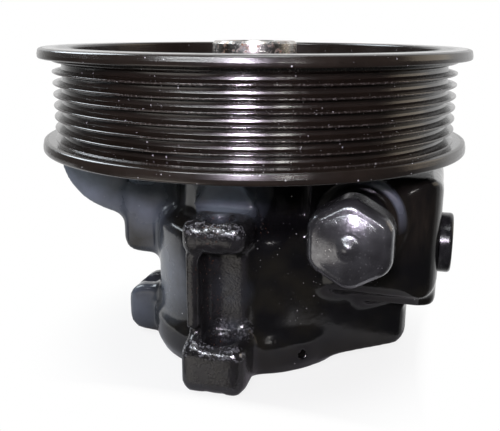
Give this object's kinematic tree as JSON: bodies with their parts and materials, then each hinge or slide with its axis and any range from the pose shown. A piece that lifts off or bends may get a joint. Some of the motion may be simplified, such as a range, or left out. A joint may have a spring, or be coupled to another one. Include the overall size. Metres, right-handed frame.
{
  "type": "power steering pump",
  "caption": "Belt-driven power steering vane pump: black cast body with lugs, a hexagon valve plug and a grooved pulley on a press-on hub.",
  "frame": {"origin": "on the shaft axis in the rear face of the pump", "axes": "+Z along the shaft towards the pulley, -Y towards the front lugs and the valve plug, +X towards the side port"},
  "size_m": [0.1429, 0.1422, 0.1074],
  "materials": {
    "black_casting": "gloss black paint over rough casting",
    "pulley_finish": "dark glossy coating",
    "hub_steel": "bare turned steel with rust specks",
    "plug_steel": "dark smooth coating",
    "plug_plastic": "gloss",
    "inner_steel": "ground",
    "bronze": "plain",
    "seal_rubber": "matte"
  },
  "bodies": {
    "housing": {"pump_housing": "black_casting", "bearing_outer_ring": "inner_steel", "bearing_shields": "inner_steel", "bearing_snap_ring": "inner_steel", "shaft_seal": "seal_rubber", "seal_garter_spring": "inner_steel", "shaft_bush": "bronze", "thrust_plate": "inner_steel", "cam_ring": "inner_steel", "dowel_pins": "inner_steel", "pressure_plate": "inner_steel", "pressure_plate_o_ring": "seal_rubber", "pressure_plate_spring": "inner_steel", "end_cover": "inner_steel", "end_cover_o_ring": "seal_rubber", "end_cover_retaining_ring": "inner_steel", "valve_plug": "plug_steel", "plug_o_ring": "seal_rubber", "flow_valve_spring": "inner_steel", "side_port_plug": "plug_plastic"},
    "shaft_group": {"pulley": "pulley_finish", "pulley_hub": "hub_steel", "drive_shaft": "inner_steel", "bearing_inner_ring": "inner_steel", "rotor": "inner_steel", "rotor_snap_ring": "inner_steel"},
    "ball_set": {"bearing_cage": "bronze", "bearing_balls": "inner_steel"},
    "spool": {"flow_valve_spool": "inner_steel", "relief_retainer": "inner_steel", "relief_spring": "inner_steel"},
    "relief": {"relief_ball": "inner_steel", "relief_guide": "inner_steel"},
    "vane_1": {"vane_1": "inner_steel"},
    "vane_2": {"vane_2": "inner_steel"},
    "vane_3": {"vane_3": "inner_steel"},
    "vane_4": {"vane_4": "inner_steel"},
    "vane_5": {"vane_5": "inner_steel"},
    "vane_6": {"vane_6": "inner_steel"},
    "vane_7": {"vane_7": "inner_steel"},
    "vane_8": {"vane_8": "inner_steel"},
    "vane_9": {"vane_9": "inner_steel"},
    "vane_10": {"vane_10": "inner_steel"}
  },
  "joints": [
    {"name": "pulley_spin", "type": "hinge", "parent": "housing", "child": "shaft_group", "pos_m": [0, 0, 0], "axis": [0, 0, 1], "continuous": true},
    {"name": "ball_set_spin", "type": "hinge", "parent": "housing", "child": "ball_set", "pos_m": [0, 0, 0], "axis": [0, 0, 1], "continuous": true},
    {"name": "spool_slide", "type": "slide", "parent": "housing", "child": "spool", "axis": [0, 1, 0], "range_m": [0, 0.007], "stiffness_N_per_m": 1500, "springref_m": -0.004, "deforming": ["flow_valve_spring"]},
    {"name": "relief_slide", "type": "slide", "parent": "spool", "child": "relief", "axis": [0, 1, 0], "range_m": [0, 0.001], "stiffness_N_per_m": 3000, "springref_m": -0.002, "deforming": ["relief_spring"]},
    {"name": "vane_1_slide", "type": "slide", "parent": "shaft_group", "child": "vane_1", "axis": [1, 0, 0], "range_m": [-0.0015, 0]},
    {"name": "vane_2_slide", "type": "slide", "parent": "shaft_group", "child": "vane_2", "axis": [0.809, 0.5878, 0], "range_m": [-0.0015, 0]},
    {"name": "vane_3_slide", "type": "slide", "parent": "shaft_group", "child": "vane_3", "axis": [0.309, 0.9511, 0], "range_m": [-0.0015, 0]},
    {"name": "vane_4_slide", "type": "slide", "parent": "shaft_group", "child": "vane_4", "axis": [-0.309, 0.9511, 0], "range_m": [-0.0015, 0]},
    {"name": "vane_5_slide", "type": "slide", "parent": "shaft_group", "child": "vane_5", "axis": [-0.809, 0.5878, 0], "range_m": [-0.0015, 0]},
    {"name": "vane_6_slide", "type": "slide", "parent": "shaft_group", "child": "vane_6", "axis": [-1, 0, 0], "range_m": [-0.0015, 0]},
    {"name": "vane_7_slide", "type": "slide", "parent": "shaft_group", "child": "vane_7", "axis": [-0.809, -0.5878, 0], "range_m": [-0.0015, 0]},
    {"name": "vane_8_slide", "type": "slide", "parent": "shaft_group", "child": "vane_8", "axis": [-0.309, -0.9511, 0], "range_m": [-0.0015, 0]},
    {"name": "vane_9_slide", "type": "slide", "parent": "shaft_group", "child": "vane_9", "axis": [0.309, -0.9511, 0], "range_m": [-0.0015, 0]},
    {"name": "vane_10_slide", "type": "slide", "parent": "shaft_group", "child": "vane_10", "axis": [0.809, -0.5878, 0], "range_m": [-0.0015, 0]}
  ],
  "couplings": [
    {"joint": "ball_set_spin", "follows": "pulley_spin", "ratio": 0.38175}
  ]
}
